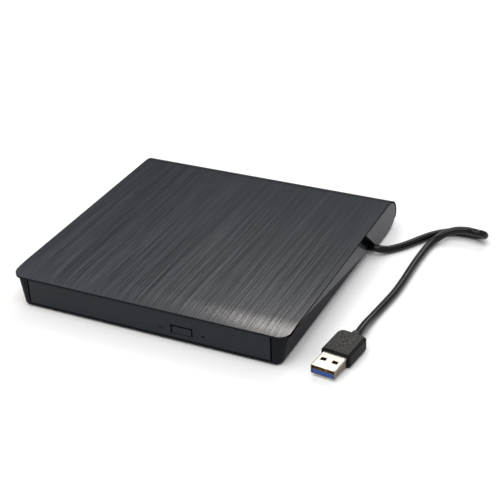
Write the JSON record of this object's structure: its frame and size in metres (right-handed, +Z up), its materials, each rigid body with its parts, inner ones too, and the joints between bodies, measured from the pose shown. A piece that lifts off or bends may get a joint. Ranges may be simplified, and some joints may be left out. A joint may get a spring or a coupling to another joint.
{
  "type": "external disc drive",
  "caption": "Slim external disc drive with a pull-out tray, a brushed wrap-over cover, a rounded rear edge and a captive cable that ends in a flat plug.",
  "frame": {"origin": "bottom centre of the case, on the table under its feet, without the free cable and its plug", "axes": "+X to the right seen from the front panel, +Y from the front panel to the rear, +Z up"},
  "size_m": [0.1971, 0.1466, 0.018],
  "materials": {
    "skin": "fine brushed lines from front to rear, dark anodised",
    "shell": "satin moulded black",
    "panel": "satin moulded black",
    "rubber": "matte",
    "foam": "closed-cell foam",
    "screw_steel": "zinc plated",
    "board": "solder-masked laminate",
    "chip": "moulded black",
    "wire": "insulated wires",
    "cable": "smooth soft jacket",
    "grip": "fine-grained moulding",
    "plug_metal": "bright nickel plate",
    "plug_tongue": "blue moulding",
    "contact": "gold plated",
    "sheet": "zinc-coated sheet",
    "rail_steel": "polished",
    "slide_plastic": "natural slippery plastic",
    "ribbon": "flexible printed film",
    "tray_plastic": "moulded black",
    "motor_metal": "turned metal",
    "sled_metal": "die-cast, dark",
    "lamp": "clear moulding",
    "window": "smoked light pipe",
    "coil": "wound coil",
    "optic": "coated lens"
  },
  "bodies": {
    "case": {"top_cover": "skin", "housing": "shell", "rubber_feet": "rubber", "case_screws": "screw_steel", "foam_pads": "foam", "bridge_board": "board", "bridge_chips": "chip", "bridge_socket": "chip", "wire_bundle": "wire", "cable_boot": "rubber", "usb_cable": "cable", "plug_body": "grip", "plug_shell": "plug_metal", "plug_insert": "plug_tongue", "plug_contacts": "contact", "drive_pan": "sheet", "drive_lid": "sheet", "lid_screws": "screw_steel", "left_guide": "slide_plastic", "right_guide": "slide_plastic", "latch_pin": "rail_steel", "drive_board": "board", "drive_chips": "chip", "drive_plug": "chip", "flex_ribbon": "ribbon"},
    "tray": {"tray": "tray_plastic", "bezel": "panel", "tray_shield": "sheet", "deck": "sheet", "deck_dampers": "rubber", "deck_screws": "screw_steel", "guide_rods": "rail_steel", "spindle_motor": "motor_metal", "sled_motor": "motor_metal", "front_board": "board", "eject_switch": "chip", "status_led": "lamp", "status_lens": "window", "control_board": "board", "control_chips": "chip", "latch_solenoid": "coil"},
    "left_rail": {"left_rail": "rail_steel"},
    "right_rail": {"right_rail": "rail_steel"},
    "eject_button": {"eject_button": "panel"},
    "spindle": {"turntable": "motor_metal", "turntable_ring": "rubber", "hub_claws": "slide_plastic"},
    "sled": {"pickup_sled": "sled_metal"},
    "lens": {"lens_holder": "slide_plastic", "objective_lens": "optic"},
    "lead_screw": {"lead_screw": "rail_steel"},
    "latch": {"latch_lever": "slide_plastic"},
    "ejector": {"ejector_rod": "slide_plastic", "ejector_spring": "rail_steel"}
  },
  "joints": [
    {"name": "tray_slide", "type": "slide", "parent": "case", "child": "tray", "axis": [0, -1, 0], "range_m": [0, 0.127], "deforming": ["flex_ribbon"]},
    {"name": "left_rail_slide", "type": "slide", "parent": "case", "child": "left_rail", "axis": [0, -1, 0], "range_m": [0, 0.0635]},
    {"name": "right_rail_slide", "type": "slide", "parent": "case", "child": "right_rail", "axis": [0, -1, 0], "range_m": [0, 0.0635]},
    {"name": "eject_press", "type": "slide", "parent": "tray", "child": "eject_button", "axis": [0, 1, 0], "range_m": [0, 0.0007], "stiffness_N_per_m": 500, "springref_m": -0.0004},
    {"name": "spindle_spin", "type": "hinge", "parent": "tray", "child": "spindle", "pos_m": [0, -0.006, 0.01], "axis": [0, 0, 1], "continuous": true},
    {"name": "sled_travel", "type": "slide", "parent": "tray", "child": "sled", "axis": [-0.7071, -0.7071, 0], "range_m": [0, 0.034]},
    {"name": "lens_focus", "type": "slide", "parent": "sled", "child": "lens", "axis": [0, 0, 1], "range_m": [-0.0004, 0.0004], "stiffness_N_per_m": 60},
    {"name": "screw_turn", "type": "hinge", "parent": "tray", "child": "lead_screw", "pos_m": [0.01598, -0.02198, 0.00545], "axis": [-0.7071, -0.7071, 0], "range_deg": [0, 4080]},
    {"name": "latch_swing", "type": "hinge", "parent": "tray", "child": "latch", "pos_m": [0.05, -0.049, 0.0049], "axis": [0, 0, 1], "range_deg": [0, 20]},
    {"name": "ejector_push", "type": "slide", "parent": "tray", "child": "ejector", "axis": [0, 1, 0], "range_m": [0, 0.00508], "deforming": ["ejector_spring"]}
  ],
  "couplings": [
    {"joint": "left_rail_slide", "follows": "tray_slide", "ratio": 0.5},
    {"joint": "right_rail_slide", "follows": "tray_slide", "ratio": 0.5},
    {"joint": "screw_turn", "follows": "sled_travel", "rad_per_m": 2094.4},
    {"joint": "ejector_push", "follows": "tray_slide", "ratio": 0.04}
  ]
}
